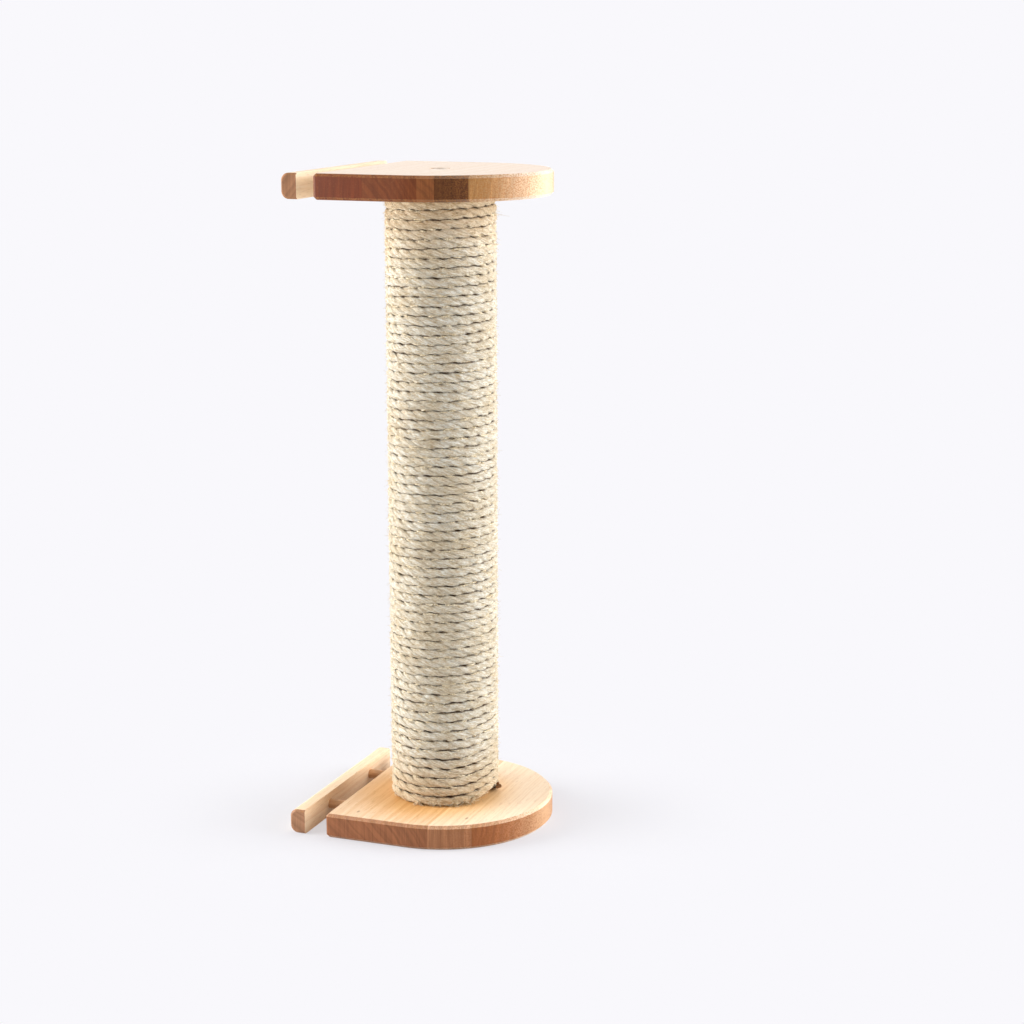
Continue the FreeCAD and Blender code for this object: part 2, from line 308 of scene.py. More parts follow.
    # Painted shade: the side tint darkens all upright faces but the bore
    upright = add_node(tree, "ShaderNodeMath", {0: facing.outputs["Z"]}, operation="ABSOLUTE")
    upright = add_node(tree, "ShaderNodeMapRange",
                       {"Value": upright.outputs[0], "From Min": 0.75, "From Max": 0.45})
    upright = add_node(tree, "ShaderNodeMath", {0: upright.outputs[0], 1: oiled.outputs[0]},
                       operation="MULTIPLY")
    wood = add_node(tree, "ShaderNodeMix", {0: upright.outputs[0], 6: wood.outputs[2], 7: linear(painted_side_shade)},
                    data_type="RGBA", blend_type="MULTIPLY")
    if amber:
        # Oil that gathered round the foot of the rope, a little off its middle, and dried amber
        from_pool = distance_from(tree, grain, (post_x / MM - 6.0, -8.0, 0.0), (1.0, 1.0, 0.0))
        oil_soak_and_painted_bounce = add_node(tree, "ShaderNodeMapRange",
                          {"Value": from_pool, "From Min": 28.0, "From Max": 62.0,
                           "To Min": amber, "To Max": 0.0}, interpolation_type="SMOOTHSTEP")
        wood = add_node(tree, "ShaderNodeMix",
                        {0: oil_soak_and_painted_bounce.outputs[0], 6: wood.outputs[2], 7: linear("#F2CC7C")},
                        data_type="RGBA", blend_type="MULTIPLY")
    for x, y, half_width, half_length in flecks:
        # Small pin knots and gum marks
        from_fleck = distance_from(tree, grain, (x, y, 0.0), (1.0 / half_width, 1.0 / half_length, 0.0))
        mark = add_node(tree, "ShaderNodeMapRange",
                        {"Value": from_fleck, "From Min": 0.3, "From Max": 1.0,
                         "To Min": 0.55, "To Max": 0.0}, interpolation_type="SMOOTHSTEP")
        wood = add_node(tree, "ShaderNodeMix",
                        {0: mark.outputs[0], 6: wood.outputs[2], 7: linear("#7A4A26")}, data_type="RGBA")
    pore_strength = add_node(tree, "ShaderNodeMath", {0: pore_mask.outputs[0], 1: 0.22},
                             operation="MULTIPLY")
    wood = add_node(tree, "ShaderNodeMix",
                    {0: pore_strength.outputs[0], 6: wood.outputs[2], 7: linear("#9A6A42")},
                    data_type="RGBA")
    # Pores are duller than the oiled wood round them, and a little lower
    gloss = add_node(tree, "ShaderNodeMapRange",
                     {"Value": pore_mask.outputs[0], "To Min": 0.46, "To Max": 0.68})
    height = add_node(tree, "ShaderNodeMath", {0: pore_mask.outputs[0], 1: -0.6, 2: streaks.outputs["Fac"]},
                      operation="MULTIPLY_ADD")
    relief = add_node(tree, "ShaderNodeBump",
                      {"Height": height.outputs[0], "Strength": 0.35, "Distance": 0.12 * MM})
    surface = add_node(tree, "ShaderNodeBsdfPrincipled",
                       {"Base Color": wood.outputs[2], "Roughness": gloss.outputs[0],
                        "Normal": relief.outputs[0], "Specular IOR Level": 0.22})
    add_node(tree, "ShaderNodeOutputMaterial", {"Surface": surface.outputs[0]})
    return made


def at_place(edge, axis, place):
    """Whether both ends of an edge lie at a place along an axis."""
    return all(abs(corner.co[axis] - place) < SAME for corner in edge.verts)


def reach(edge, axis):
    """How far an edge reaches along an axis."""
    return abs(edge.verts[0].co[axis] - edge.verts[1].co[axis])


def bevel_edges(piece, chosen, width, segments):
    """Rounds the sharp edges that the test picks, or chamfers them where one segment is asked for."""
    bpy.ops.object.mode_set(mode="EDIT")
    bpy.ops.mesh.select_mode(type="EDGE")
    bpy.ops.mesh.select_all(action="DESELECT")
    shape = bmesh.from_edit_mesh(piece.data)
    for edge in shape.edges:
        if len(edge.link_faces) == 2 and edge.calc_face_angle(0) > sharp_angle and chosen(edge):
            edge.select_set(True)
    bmesh.update_edit_mesh(piece.data)
    bpy.ops.mesh.bevel(offset=width, segments=segments, affect="EDGES", clamp_overlap=False)
    bpy.ops.object.mode_set(mode="OBJECT")


def select_faces(piece, chosen):
    """In edit mode, selects only the faces that the test picks."""
    bpy.ops.mesh.select_mode(type="FACE")
    bpy.ops.mesh.select_all(action="DESELECT")
    shape = bmesh.from_edit_mesh(piece.data)
    for face in shape.faces:
        face.select_set(chosen(face))
    bmesh.update_edit_mesh(piece.data)


def make_active(piece):
    """Selects a piece alone, for the next operator."""
    deselect_all()
    piece.select_set(True)
    bpy.context.view_layer.objects.active = piece


def apply_place(piece):
    """Moves a piece's place, turn and size into its mesh."""
    make_active(piece)
    bpy.ops.object.transform_apply(location=True, rotation=True, scale=True)


def cut_away(piece, tool):
    """Cuts the shape of a tool out of a piece, and removes the tool."""
    apply_place(tool)
    make_active(piece)
    cut = piece.modifiers.new("cut", "BOOLEAN")
    cut.object = tool
    cut.operation = "DIFFERENCE"
    bpy.ops.object.modifier_apply(modifier=cut.name)
    bpy.data.objects.remove(tool)


def bore(piece, radius, start, end):
    """Drills a round hole into a piece, from one point to the other."""
    start = Vector(start)
    path = Vector(end) - start
    deselect_all()
    bpy.ops.mesh.primitive_cylinder_add(vertices=bore_facets, radius=radius, depth=path.length,
                                        location=(start + Vector(end)) / 2,
                                        rotation=path.to_track_quat("Z", "Y").to_euler())
    cut_away(piece, bpy.context.object)


def smooth(piece, degrees=32):
    """Shades a piece smooth, but for edges sharper than the angle."""
    make_active(piece)
    bpy.ops.object.shade_smooth_by_angle(angle=math.radians(degrees))


def d_board(name, underside, bolt_side):
    """One board: half of a round blank, drawn back to its straight edge. The bolt's head is sunk
    in its upper face where bolt_side is 1, and in its underside where it is -1."""
    middle = underside + shelf_thickness / 2
    deselect_all()
    bpy.ops.mesh.primitive_cylinder_add(vertices=nose_facets, radius=nose_radius, depth=shelf_thickness,
                                        location=(post_x, 0, middle))
    piece = bpy.context.object
    piece.name = name
    apply_place(piece)
    bpy.ops.object.mode_set(mode="EDIT")
    bpy.ops.mesh.select_all(action="SELECT")
    bpy.ops.mesh.bisect(plane_co=(post_x, 0, middle), plane_no=(1, 0, 0), use_fill=True, clear_inner=True)
    select_faces(piece, lambda face: face.normal.x < -0.99)
    bpy.ops.mesh.extrude_region_move(TRANSFORM_OT_translate={"value": (shelf_back - post_x, 0, 0)})
    bpy.ops.object.mode_set(mode="OBJECT")
    bevel_edges(piece, lambda edge: at_place(edge, X, shelf_back) and reach(edge, Z) > MM, corner_radius, 6)
    bevel_edges(piece, lambda edge: reach(edge, Z) < SAME, rim_chamfer, 1)
    outer = underside if bolt_side < 0 else underside + shelf_thickness
    bore(piece, bolt_bore_radius, (post_x, 0, outer + bolt_side * MM),
         (post_x, 0, outer - bolt_side * bolt_bore_depth))
    bore(piece, bolt_hole_radius, (post_x, 0, underside - MM), (post_x, 0, underside + shelf_thickness + MM))
    for side in (-dowel_side, dowel_side):
        bore(piece, dowel_hole_radius, (shelf_back - MM, side, middle),
             (shelf_back + dowel_hole_depth, side, middle))
    smooth(piece)
    return piece


bottom_board = d_board("bottom_board", 0.0, -1)
bottom_board.data.materials.append(rubberwood(
    "rubberwood_bottom_board", "#F5DEC2", "#DDB68C",
    staves=(((-88.0, -62.0), "#B18468", 0.32),
            ((200.0, 12.0), "#CEA385", -0.14),
            ((-150.0, 40.0), "#BC845D", -0.24)),
    joints=(19.1, 43.5), amber=0.75, flecks=((-30.0, -56.0, 1.2, 2.6), (36.2, -44.0, 1.2, 2.8)),
    # The side tint is painted shade on the upright faces
    painted_side_shade="#CDB198", seed=3.0))
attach(bottom_board, "post")
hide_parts("bottom_shelf")

top_board = d_board("top_board", top_underside, 1)
top_board.data.materials.append(rubberwood(
    "rubberwood_top_board", "#F3E4D6", "#E8D0B6",
    staves=(((-230.0, 396.0), "#73391D", 0.0),
            ((-95.0, 330.0), "#774224", 0.0),
            ((-40.0, 350.0), "#8E5A38", 0.0),
            ((210.0, 390.0), "#5E391E", 0.0),
            ((-150.0, 430.0), "#B28D62", 0.0)),
    # The side tint is painted shade on the upright faces
    joints=(-16.0, 17.0, 26.5, 43.8), painted_side_shade="#F0E0C8", seed=11.0))
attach(top_board, "post")
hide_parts("top_shelf")

# Wall bars ---------------------------------------------------------------
# A narrow rubberwood bar behind each board, as high as the board is thick. Its
# wall side is rounded, its inner edges are left sharp, and two holes in its
# inner face take the glued ends of the dowels.
bar_thickness = 10.0 * MM
bar_height = 15.0 * MM
bar_length = 128.6 * MM
bar_side_shift = 2.2 * MM
bar_wall_edge_radius = 4.6 * MM
bar_end_chamfer = 1.2 * MM
dowel_seat_depth = 7.0 * MM
dowel_glue_radius = 3.03 * MM
bottom_bar_gap = 13.9 * MM
top_bar_gap = 10.2 * MM


def wall_bar(name, gap, underside):
    """One bar, with its wall side away from the board."""
    inner = shelf_back - gap
    outer = inner - bar_thickness
    middle = underside + bar_height / 2
    deselect_all()
    bpy.ops.mesh.primitive_cube_add(size=1, location=((inner + outer) / 2, -bar_side_shift, middle),
                                    scale=(bar_thickness, bar_length, bar_height))
    piece = bpy.context.object
    piece.name = name
    apply_place(piece)
    bevel_edges(piece, lambda edge: at_place(edge, X, outer) and reach(edge, Y) > bar_length / 2,
                bar_wall_edge_radius, 8)
    bevel_edges(piece, lambda edge: reach(edge, Y) < SAME and not at_place(edge, X, inner),
                bar_end_chamfer, 1)
    for side in (-dowel_side, dowel_side):
        bore(piece, dowel_glue_radius, (inner + MM, side, middle), (inner - dowel_seat_depth, side, middle))
    smooth(piece)
    return piece


bottom_bar = wall_bar("bottom_bar", bottom_bar_gap, 0.0)
bottom_bar.data.materials.append(rubberwood(
    "rubberwood_bottom_bar", "#FDE7C8", "#E6C096", [((-95.0, -30.0), "#9F7457", 0.10)], seed=21.0))
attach(bottom_bar, "bottom_bar")
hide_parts("bottom_wall_bar")

top_bar = wall_bar("top_bar", top_bar_gap, top_underside)
top_bar.data.materials.append(rubberwood(
    "rubberwood_top_bar", "#FAE7CC", "#EBCDA2", [((-100.0, 430.0), "#936749", 0.0)], seed=34.0))
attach(top_bar, "top_bar")
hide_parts("top_wall_bar")

# Dowels ------------------------------------------------------------------
# Four 6 mm beech dowels, sanded smooth, with a small rounded chamfer at the free
# end. One end is glued in the bar and the other slides in the board.
dowel_radius = 3.0 * MM
dowel_length = 36.0 * MM
dowel_chamfer = 0.8 * MM
beech = rubberwood("beech_dowel", "#DBB088", "#B48459", [((-30.0, 40.0), "#9A6242", 0.1)],
                   grain_turn=math.pi / 2, ring_width=1.6, seed=5.0)


def dowel(name, gap, side, height):
    """One dowel, from the bottom of its hole in the bar into the board."""
    start = shelf_back - gap - dowel_seat_depth
    deselect_all()
    bpy.ops.mesh.primitive_cylinder_add(vertices=48, radius=dowel_radius, depth=dowel_length,
                                        location=(start + dowel_length / 2, side, height),
                                        rotation=(0, math.pi / 2, 0))
    piece = bpy.context.object
    piece.name = name
    apply_place(piece)
    bevel_edges(piece, lambda edge: at_place(edge, X, start + dowel_length), dowel_chamfer, 2)
    smooth(piece)
    piece.data.materials.append(beech)
    return piece


for bar, gap, height in (("bottom", bottom_bar_gap, dowel_height),
                         ("top", top_bar_gap, top_underside + dowel_height)):
    for hand, side in (("left", -dowel_side), ("right", dowel_side)):
        rod = dowel(bar + "_" + hand + "_pin", gap, side, height)
        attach(rod, bar + "_bar")
        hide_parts(bar + "_" + hand + "_dowel")

# Tube, plugs, inserts and nails -------------------------------------------
# The core is a spiral-wound cardboard tube. A turned softwood plug is nailed
# into each end, and holds a zinc-plated threaded insert for the bolt.

# Kraft cardboard: brown, quite matt, and mottled by fibres about 1 mm long
kraft, tree = empty_material("kraft_cardboard")
place = add_node(tree, "ShaderNodeTexCoord", {})
fibres = add_node(tree, "ShaderNodeTexNoise",
                  {"Vector": place.outputs["Object"], "Scale": 0.9 / MM, "Detail": 3.0})
board_tone = add_node(tree, "ShaderNodeMix",
                      {0: fibres.outputs["Fac"], 6: linear("#A98457"), 7: linear("#7E5D38")},
                      data_type="RGBA")
surface = add_node(tree, "ShaderNodeBsdfPrincipled", {"Base Color": board_tone.outputs[2], "Roughness": 0.9})
add_node(tree, "ShaderNodeOutputMaterial", {"Surface": surface.outputs[0]})

softwood = rubberwood("turned_softwood", "#E3C08E", "#C2935A", [((3.0, -40.0), "#B98B58", 0.1)],
                      ring_width=2.4, seed=8.0)


def plated_steel(name, colour, roughness, socket_shade_colour=None, socket_shade_radius=0.0):
    """Steel with a thin plated or drawn skin, half matt and slightly uneven, in clouds of about
    1.4 mm. A driver socket on the post's axis, and a ring round it, is painted dark as shade."""
    made, tree = empty_material(name)
    place = add_node(tree, "ShaderNodeTexCoord", {})
    cloud = add_node(tree, "ShaderNodeTexNoise",
                     {"Vector": place.outputs["Object"], "Scale": 0.7 / MM, "Detail": 2.0})
    dull = add_node(tree, "ShaderNodeMapRange",
                    {"Value": cloud.outputs["Fac"], "To Min": roughness - 0.08, "To Max": roughness + 0.12})
    skin = linear(colour)
    # Painted shade: the socket and a ring round it take the dark colour
    if socket_shade_colour:
        off_axis = distance_from(tree, place.outputs["Object"], (post_x, 0.0, 0.0), (1.0, 1.0, 0.0))
        outside = add_node(tree, "ShaderNodeMath", {0: off_axis, 1: socket_shade_radius}, operation="GREATER_THAN")
        skin = add_node(tree, "ShaderNodeMix",
                        {0: outside.outputs[0], 6: linear(socket_shade_colour), 7: linear(colour)},
                        data_type="RGBA").outputs[2]
    surface = add_node(tree, "ShaderNodeBsdfPrincipled",
                       {"Base Color": skin, "Metallic": 1.0, "Roughness": dull.outputs[0]})
    add_node(tree, "ShaderNodeOutputMaterial", {"Surface": surface.outputs[0]})
    return made


zinc = plated_steel("zinc_plated_steel", "#B9B9B4", 0.38)
bright_wire = plated_steel("bright_steel_wire", "#9D9C99", 0.35)
for node_name, finish in (("post_tube", kraft), ("lower_plug", softwood), ("upper_plug", softwood),
                          ("lower_insert", zinc), ("upper_insert", zinc),
                          ("lower_plug_nails", bright_wire), ("upper_plug_nails", bright_wire)):
    node_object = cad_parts[node_name]
    node_object.data.materials.clear()
    node_object.data.materials.append(finish)

# Bolts -------------------------------------------------------------------
# An M8 bolt holds each board to the plug behind it. The low round head has a
# 5 mm hexagon socket, is zinc plated, and sits half a millimetre under the wood.
bolt_head_radius = 6.3 * MM
bolt_head_height = 4.0 * MM
bolt_head_sink = 0.5 * MM
bolt_head_edge = 0.7 * MM
bolt_shank_radius = 4.0 * MM
bolt_length = 35.0 * MM
socket_radius = 2.887 * MM
socket_depth = 3.0 * MM
# The bolt's socket and a ring round it get painted shade
pale_zinc = plated_steel("pale_zinc_plated_steel", "#DEDBD6", 0.50, "#2E2620", 1.3 * socket_radius)


def bolt(name, face, up):
    """One bolt; face is the height of its head, and up is 1 where the head looks up."""
    deselect_all()
    bpy.ops.mesh.primitive_cylinder_add(vertices=96, radius=bolt_head_radius, depth=bolt_head_height,
                                        location=(post_x, 0, face - up * bolt_head_height / 2))
    piece = bpy.context.object
    piece.name = name
    apply_place(piece)
    bevel_edges(piece, lambda edge: at_place(edge, Z, face), bolt_head_edge, 3)
    # The shank grows out of the head's underside
    bpy.ops.object.mode_set(mode="EDIT")
    select_faces(piece, lambda flat: flat.normal.z * up < -0.99)
    bpy.ops.mesh.inset(thickness=bolt_head_radius - bolt_shank_radius)
    bpy.ops.mesh.extrude_region_move(TRANSFORM_OT_translate={"value": (0, 0, -up * bolt_length)})
    bpy.ops.object.mode_set(mode="OBJECT")
    # The socket is punched as deep above the face as below it
    deselect_all()
    bpy.ops.mesh.primitive_cylinder_add(vertices=6, radius=socket_radius, depth=2 * socket_depth,
                                        location=(post_x, 0, face), rotation=(0, 0, math.radians(30)))
    cut_away(piece, bpy.context.object)
    smooth(piece)
    piece.data.materials.append(pale_zinc)
    return piece


for name, node_name, face, up in (
        ("bottom_bolt", "lower_bolt", bolt_head_sink, -1),
        ("top_bolt", "upper_bolt", top_underside + shelf_thickness - bolt_head_sink, 1)):
    screw = bolt(name, face, up)
    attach(screw, "post")
    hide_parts(node_name)

# Rope --------------------------------------------------------------------
# About 12.5 m of natural 6 mm sisal, three strands laid right-handed, wound
# tight from the bottom board to the top one in 65 turns and glued to the tube.
# The turns press each other flat, and the first one lies down on the board.
rope_turns = 65
rope_start = math.radians(12.5)
strand_count = 3
points_per_turn = 116
strand_sides = 10
settled_turns = 12
climb_from = 0.78
tail_turn = 0.045

# From here on sizes are in millimetres, and the corners of a mesh are turned to metres
rope_pitch = 5.606
winding_foot = 17.85
winding_radius = 30.58
turn_length = 2 * math.pi * winding_radius
lay_length = 27.0
strand_radius = 1.70
strand_offset = 1.16
tail_reach = 3.0
tail_lift = 1.1
shared_sway = 0.55
own_sway = 0.28
depth_sway = 0.25
groove_from = winding_radius + 0.6
groove_depth = 1.1
# The painted shade and bounce light near the boards grows between these distances from the post's middle
bounce_shade_from = 140.0
bounce_shade_to = 188.0
UP = Vector((0, 0, 1))


def rope_line(turn):
    """Centre of the rope after so many turns, with its outward and along directions."""
    angle = rope_start + 2 * math.pi * turn
    outward = Vector((math.cos(angle), math.sin(angle), 0))
    along = Vector((-math.sin(angle), math.cos(angle), rope_pitch / turn_length)).normalized()
    # The first turn lies flat and climbs over the tail, and the next ones even that out
    part = turn % 1
    climbed = min(1.0, max(0.0, (part - climb_from) / (1 - climb_from)))
    sunk = (part - climbed * climbed * (3 - 2 * climbed)) * max(0.0, 1 - turn / settled_turns)
    # Neighbouring turns sway together, and less at the boards
    ease = min(1.0, turn / 2, (rope_turns - turn) / 2)
    sway = shared_sway * noise.noise((outward.x * 2.4, outward.y * 2.4, turn * 0.30))
    sway += own_sway * noise.noise((turn * 9.0, 4.1, 0.0))
    rise = winding_foot + rope_pitch * (turn - sunk) + sway * ease
    radius = winding_radius + depth_sway * noise.noise((turn * 5.0, 9.7, 0.0))
    # The tail's cut end stands off the tube
    tail = max(0.0, 1 - turn / tail_turn)
    radius += tail_reach * tail
    rise += tail_lift * tail
    return outward * radius + Vector((post_x / MM, 0, rise)), outward, along


def strand_corners(phase):
    """Rings of corners along one strand, which winds about the rope's own line. Its girth swells and
    thins along it, and each ring is lumpy. The tail's end is thinner, where it was sealed."""
    corners = []
    slope = 2 * math.pi * strand_offset / lay_length
    for step in range(rope_turns * points_per_turn + 1):
        turn = step / points_per_turn
        centre, outward, along = rope_line(turn)
        length = turn * turn_length
        twist = phase + 2 * math.pi * length / lay_length + 0.9 * noise.noise((turn * 3.1, 7.7, 0.0))
        side = along.cross(outward)
        out = outward * math.cos(twist) + side * math.sin(twist)
        run = (along + (side * math.cos(twist) - outward * math.sin(twist)) * slope).normalized()
        across = run.cross(out).normalized()
        fat = strand_radius * (1 + 0.10 * noise.noise((length * 0.09, phase * 5.0, 0.0)))
        fat *= 1 - 0.45 * max(0.0, 1 - turn / tail_turn)
        for j in range(strand_sides):
            around = 2 * math.pi * j / strand_sides
            lump = fat * (1 + 0.20 * noise.noise((length * 0.33, 1.4 * math.cos(around) + phase * 3.0,
                                                  1.4 * math.sin(around))))
            off = out * (strand_offset + lump * 0.96 * math.cos(around))
            off = off + across * (lump * 1.08 * math.sin(around))
            # Pressed by its neighbours, the rope is a little taller than it is deep
            off += side * (0.17 * off.dot(side)) - outward * (0.05 * off.dot(outward))
            corners.append((centre + off) * MM)
    return corners


def strand_mesh(name, phase):
    """One strand: a closed tube, with its length and girth as UV."""
    corners = strand_corners(phase)
    steps = rope_turns * points_per_turn
    faces = [(i * strand_sides + j, i * strand_sides + (j + 1) % strand_sides,
              (i + 1) * strand_sides + (j + 1) % strand_sides, (i + 1) * strand_sides + j)
             for i in range(steps) for j in range(strand_sides)]
    faces.append(tuple(range(strand_sides - 1, -1, -1)))
    faces.append(tuple(steps * strand_sides + j for j in range(strand_sides)))
    mesh = bpy.data.meshes.new(name)
    mesh.from_pydata(corners, [], faces)
    # Each four-sided face has its corners in the order above; the two end caps keep UV 0
    girth = mesh.uv_layers.new(name="UVMap")
    facet_width = 2 * math.pi * strand_radius / strand_sides
    places = np.zeros((len(mesh.loops), 2))
    tube_loops = steps * strand_sides * 4
    ring = np.arange(tube_loops) // (4 * strand_sides)
    facet = (np.arange(tube_loops) // 4) % strand_sides
    corner = np.arange(tube_loops) % 4
    places[:tube_loops, 0] = (ring + (corner >= 2)) * turn_length / points_per_turn
    places[:tube_loops, 1] = (facet + ((corner == 1) | (corner == 2))) * facet_width
    girth.data.foreach_set("uv", places.ravel())
    mesh.validate()
    piece = bpy.data.objects.new(name, mesh)
    bpy.context.scene.collection.objects.link(piece)
    make_active(piece)
    bpy.ops.object.mode_set(mode="EDIT")
    bpy.ops.mesh.select_all(action="SELECT")
    bpy.ops.mesh.normals_make_consistent(inside=False)
    bpy.ops.object.mode_set(mode="OBJECT")
    smooth(piece, 60)
    return piece


def sisal(name):
    """Natural sisal: stiff cream fibres with straw and grey-brown ones among them, matt, with a
    slight sheen. They lean against the lay, so that on the rope they lie nearly along it. Painted
    shade with some dust darkens the grooves, and painted shade and warm bounce light from the boards
    tint the turns next to them. Sealing darkens the tail's end. UV is in millimetres."""
    made, tree = empty_material(name)
    place = add_node(tree, "ShaderNodeUVMap", {}, uv_map="UVMap")
    lean = add_node(tree, "ShaderNodeMapping",
                    {"Vector": place.outputs[0], "Rotation": (0, 0, math.radians(16))}).outputs[0]
    # Single fibres 0.2 mm wide, and tufts of them about 0.8 mm wide and 3 mm long
    fibres = drawn_out_noise(tree, lean, (0.22, 4.4, 1.0), 2.0)
    tufts = drawn_out_noise(tree, lean, (0.30, 1.25, 1.0), 4.0, roughness=0.75)
    light = add_node(tree, "ShaderNodeMath", {0: tufts.outputs["Fac"], 1: 0.75}, operation="MULTIPLY")
    light = add_node(tree, "ShaderNodeMath", {0: fibres.outputs["Fac"], 1: 0.25, 2: light.outputs[0]},
                     operation="MULTIPLY_ADD")
    light = add_node(tree, "ShaderNodeMapRange",
                     {"Value": light.outputs[0], "From Min": 0.36, "From Max": 0.58})
    body = add_node(tree, "ShaderNodeMix",
                    {0: light.outputs[0], 6: linear("#C6AA78"), 7: linear("#FFFDF3")}, data_type="RGBA")
    # Straw-coloured patches about 18 mm across
    spot = add_node(tree, "ShaderNodeTexCoord", {}).outputs["Object"]
    patches = add_node(tree, "ShaderNodeTexNoise", {"Vector": spot, "Scale": 0.055 / MM, "Detail": 3.0})
    tint = add_node(tree, "ShaderNodeMapRange",
                    {"Value": patches.outputs["Fac"], "From Min": 0.40, "From Max": 0.72,
                     "To Min": 0.0, "To Max": 0.40})
    body = add_node(tree, "ShaderNodeMix", {0: tint.outputs[0], 6: body.outputs[2], 7: linear("#D9C193")},
                    data_type="RGBA", blend_type="MULTIPLY")
    # The grooves are what lies deep towards the post's axis, and get painted shade with some dust
    off_axis = distance_from(tree, spot, (post_x, 0.0, 0.0), (1.0, 1.0, 0.0))
    clear_of_groove_shade = add_node(tree, "ShaderNodeMapRange",
                        {"Value": off_axis, "From Min": groove_from * MM,
                         "From Max": (groove_from + groove_depth) * MM}, interpolation_type="SMOOTHSTEP")
    body = add_node(tree, "ShaderNodeMix",
                    {0: clear_of_groove_shade.outputs[0], 6: linear("#5A3A16"), 7: body.outputs[2]}, data_type="RGBA")
    # Painted shade and warm bounce light from the boards, on the turns next to them
    up_post = add_node(tree, "ShaderNodeSeparateXYZ", {0: spot})
    off_middle = add_node(tree, "ShaderNodeMath",
                          {0: up_post.outputs["Z"], 1: (shelf_thickness + top_underside) / 2},
                          operation="SUBTRACT")
    off_middle = add_node(tree, "ShaderNodeMath", {0: off_middle.outputs[0]}, operation="ABSOLUTE")
    oil_soak_and_painted_bounce = add_node(tree, "ShaderNodeMapRange",
                      {"Value": off_middle.outputs[0], "From Min": bounce_shade_from * MM,
                       "From Max": bounce_shade_to * MM, "To Max": 0.65}, interpolation_type="SMOOTHSTEP")
    body = add_node(tree, "ShaderNodeMix", {0: oil_soak_and_painted_bounce.outputs[0], 6: body.outputs[2], 7: linear("#F2D6AE")},
                    data_type="RGBA", blend_type="MULTIPLY")
    along = add_node(tree, "ShaderNodeSeparateXYZ", {0: place.outputs[0]})
    sealed = add_node(tree, "ShaderNodeMapRange",
                      {"Value": along.outputs["X"], "From Min": 0.5, "From Max": 2.0,
                       "To Min": 0.85, "To Max": 0.0})
    body = add_node(tree, "ShaderNodeMix", {0: sealed.outputs[0], 6: body.outputs[2], 7: linear("#8F5F3A")},
                    data_type="RGBA")
    height = add_node(tree, "ShaderNodeMath", {0: tufts.outputs["Fac"], 1: 1.6, 2: fibres.outputs["Fac"]},
                      operation="MULTIPLY_ADD")
    relief = add_node(tree, "ShaderNodeBump",
                      {"Height": height.outputs[0], "Strength": 1.0, "Distance": 0.8 * MM})
    surface = add_node(tree, "ShaderNodeBsdfPrincipled",
                       {"Base Color": body.outputs[2], "Roughness": 0.85, "Normal": relief.outputs[0],
                        "Specular IOR Level": 0.08, "Sheen Weight": 0.30, "Sheen Roughness": 0.5,
                        "Sheen Tint": linear("#FFF8E8")})
    add_node(tree, "ShaderNodeOutputMaterial", {"Surface": surface.outputs[0]})
    return made


natural_sisal = sisal("natural_sisal")
for i in range(strand_count):
    strand = strand_mesh("rope_strand_%d" % (i + 1), 2 * math.pi * i / strand_count)
    strand.data.materials.append(natural_sisal)
    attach(strand, "post")
    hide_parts("sisal_rope")

# Loose fibres --------------------------------------------------------------
# Sisal is never smooth. Flattened tufts bridge the grooves between the turns,
# broken fibres lie across them and stand off them, and the winding frays at
# both ends.
rope_skin = 2.7
fibre_radius = 0.10
groove_tufts = 1400
tuft_reach = (2.5, 7.0)
tuft_width = (0.30, 0.62)
lying_fibres = 9000
lying_reach = (2.0, 6.0)
standing_fibres = 7500
standing_reach = (0.8, 3.2)
fray_angles_foot = (262.0, 284.0, 303.0, 312.0, 322.0, 327.0)
fray_reach_foot = (2.0, 4.5)
fray_angles_top = (200.0, 207.0, 24.0)
fray_reach_top = (4.0, 11.0)
fray_fibres = 16
dice = random.Random(5)

# Single fibres: the rope's colours a little duller, matt, mottled along their length
pale_fibre, tree = empty_material("single_sisal_fibres")
place = add_node(tree, "ShaderNodeTexCoord", {})
mottle = add_node(tree, "ShaderNodeTexNoise",
                  {"Vector": place.outputs["Object"], "Scale": 1.3 / MM, "Detail": 3.0})
mottle = add_node(tree, "ShaderNodeMapRange",
                  {"Value": mottle.outputs["Fac"], "From Min": 0.38, "From Max": 0.60})
fibre_tone = add_node(tree, "ShaderNodeMix",
                      {0: mottle.outputs[0], 6: linear("#C6B088"), 7: linear("#F6ECD6")}, data_type="RGBA")
surface = add_node(tree, "ShaderNodeBsdfPrincipled",
                   {"Base Color": fibre_tone.outputs[2], "Roughness": 0.8, "Specular IOR Level": 0.1})
add_node(tree, "ShaderNodeOutputMaterial", {"Surface": surface.outputs[0]})


class FibreHeap:
    """Corners and faces of many fibres, that become one piece."""

    def __init__(self):
        self.corners = []
        self.faces = []

    def add(self, points, girths, outward, sides=3):
        """Adds one fibre: an open tube along the points, with a girth at each of them."""
        first = len(self.corners)
        for point, girth in zip(points, girths):
            for j in range(sides):
                around = 2 * math.pi * j / sides
                off = (outward * math.cos(around) + UP * math.sin(around)) * girth
                self.corners.append((point + off) * MM)
        for low in range(first, first + sides * (len(points) - 1), sides):
            self.faces.extend((low + j, low + (j + 1) % sides, low + sides + (j + 1) % sides, low + sides + j)
                              for j in range(sides))

    def finish(self, name):
        """Makes the piece, which rides on the post, and hides the rope's node from model.glb."""
        mesh = bpy.data.meshes.new(name)
        mesh.from_pydata(self.corners, [], self.faces)
        mesh.materials.append(pale_fibre)
        piece = bpy.data.objects.new(name, mesh)
        bpy.context.scene.collection.objects.link(piece)
        smooth(piece, 80)
        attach(piece, "post")
        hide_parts("sisal_rope")


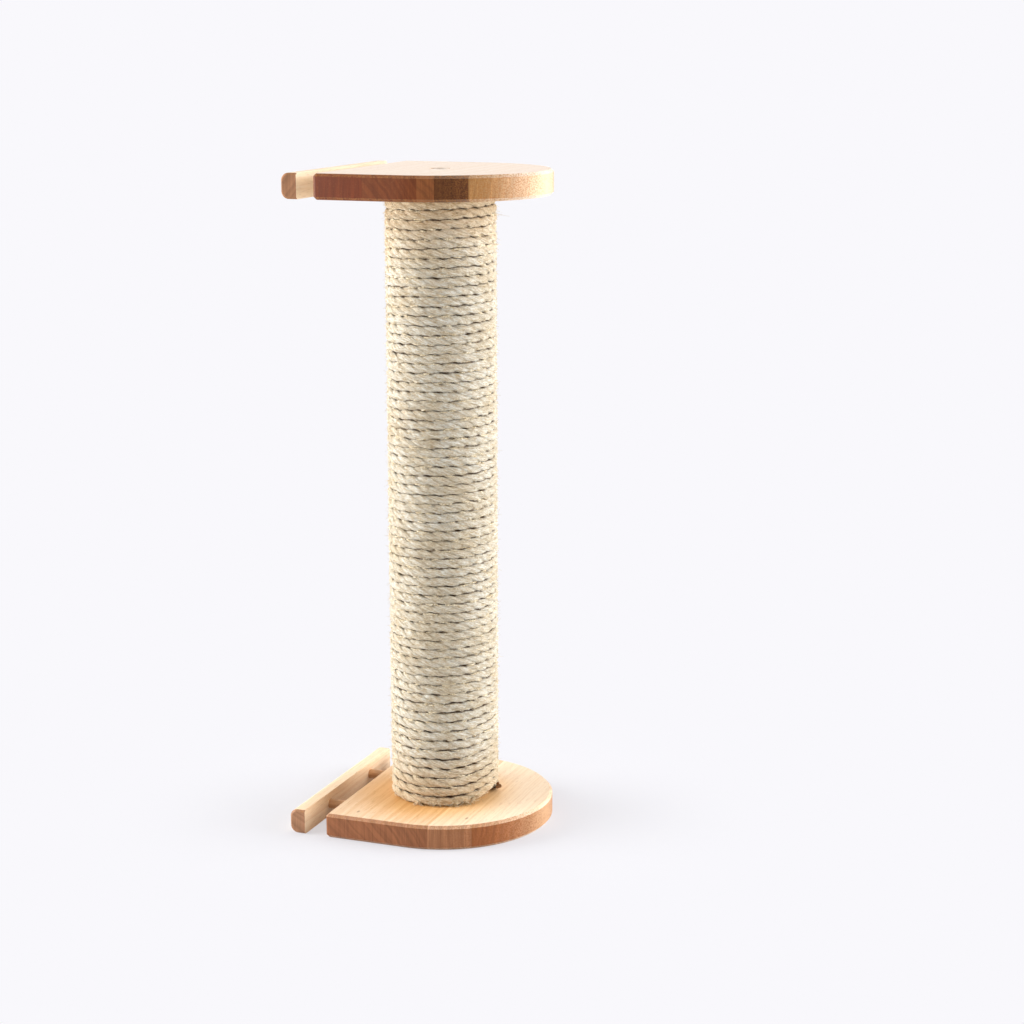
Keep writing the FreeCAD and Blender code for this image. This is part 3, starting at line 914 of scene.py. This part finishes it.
def groove_tuft(heap, turn):
    """A flattened bundle of fibres that bridges the groove above a turn for a few millimetres."""
    reach_along = dice.uniform(*tuft_reach)
    height = rope_pitch / 2 + dice.uniform(-0.8, 0.8)
    slope = dice.uniform(-0.22, 0.12)
    width = dice.uniform(*tuft_width)
    points = []
    for share in (0.0, 0.25, 0.5, 0.75, 1.0):
        centre, outward, _ = rope_line(turn + share * reach_along / turn_length)
        points.append(centre + outward * (1.75 - 0.9 * (2 * share - 1) ** 2)
                      + UP * (height + slope * reach_along * (share - 0.5)))
    heap.add(points, [width * share for share in (0.3, 0.85, 1.0, 0.8, 0.2)], outward, 6)


def lying_fibre(heap, turn):
    """A fibre that lies on the winding, at a slight slant, and dips in at both ends."""
    reach_along = dice.uniform(*lying_reach)
    height = dice.uniform(-2.6, 2.6)
    slope = dice.uniform(-0.5, 0.25)
    points = []
    for share in (0.0, 0.33, 0.67, 1.0):
        centre, outward, _ = rope_line(turn + share * reach_along / turn_length)
        points.append(centre + outward * (rope_skin - 0.6 * (2 * share - 1) ** 2)
                      + UP * (height + slope * share * reach_along))
    heap.add(points, [dice.uniform(0.9, 1.6) * fibre_radius] * 3 + [0.5 * fibre_radius], outward)


def standing_fibre(heap, turn, length, droop, thick):
    """A bent fibre that stands off the rope's surface, and stays between the boards."""
    centre, outward, along = rope_line(turn)
    around = dice.uniform(-1.1, 1.1)
    start = centre + outward * (0.9 * rope_skin * math.cos(around))
    start = start + UP * (0.8 * rope_skin * math.sin(around))
    aim = along * dice.choice((-1, 1)) * dice.uniform(0.3, 1.0) + outward * dice.uniform(0.15, 0.9)
    aim = (aim + UP * (dice.uniform(-0.7, 0.7) - droop)).normalized()
    bend = Vector((dice.uniform(-1, 1), dice.uniform(-1, 1), dice.uniform(-1, 1) - droop)) * length * 0.35
    points = [start + aim * (length * share) + bend * share * share for share in (0.0, 0.33, 0.67, 1.0)]
    for point in points:
        point.z = min(max(point.z, shelf_thickness / MM + thick), top_underside / MM - thick)
    heap.add(points, [thick * share for share in (1.2, 1.0, 0.8, 0.4)], outward)


tufts = FibreHeap()
for _ in range(groove_tufts):
    groove_tuft(tufts, dice.uniform(1.0, rope_turns - 1.2))
tufts.finish("groove_tufts")

lying = FibreHeap()
for _ in range(lying_fibres):
    lying_fibre(lying, dice.uniform(0.1, rope_turns - 0.7))
lying.finish("lying_sisal_fibres")

standing = FibreHeap()
for _ in range(standing_fibres):
    turn = dice.uniform(0.1, rope_turns - 0.2)
    standing_fibre(standing, turn, dice.uniform(*standing_reach), 0.0, fibre_radius)
for angle in fray_angles_foot:
    for _ in range(fray_fibres):
        turn = (angle - math.degrees(rope_start) + dice.uniform(-2.5, 2.5)) / 360
        standing_fibre(standing, turn, dice.uniform(*fray_reach_foot), 0.7, 2.0 * fibre_radius)
for angle in fray_angles_top:
    for _ in range(fray_fibres // 2):
        turn = (angle - math.degrees(rope_start) + dice.uniform(-4, 4)) % 360 / 360 + rope_turns - 1.6
        standing_fibre(standing, turn, dice.uniform(*fray_reach_top), 0.3, fibre_radius)
standing.finish("standing_sisal_fibres")
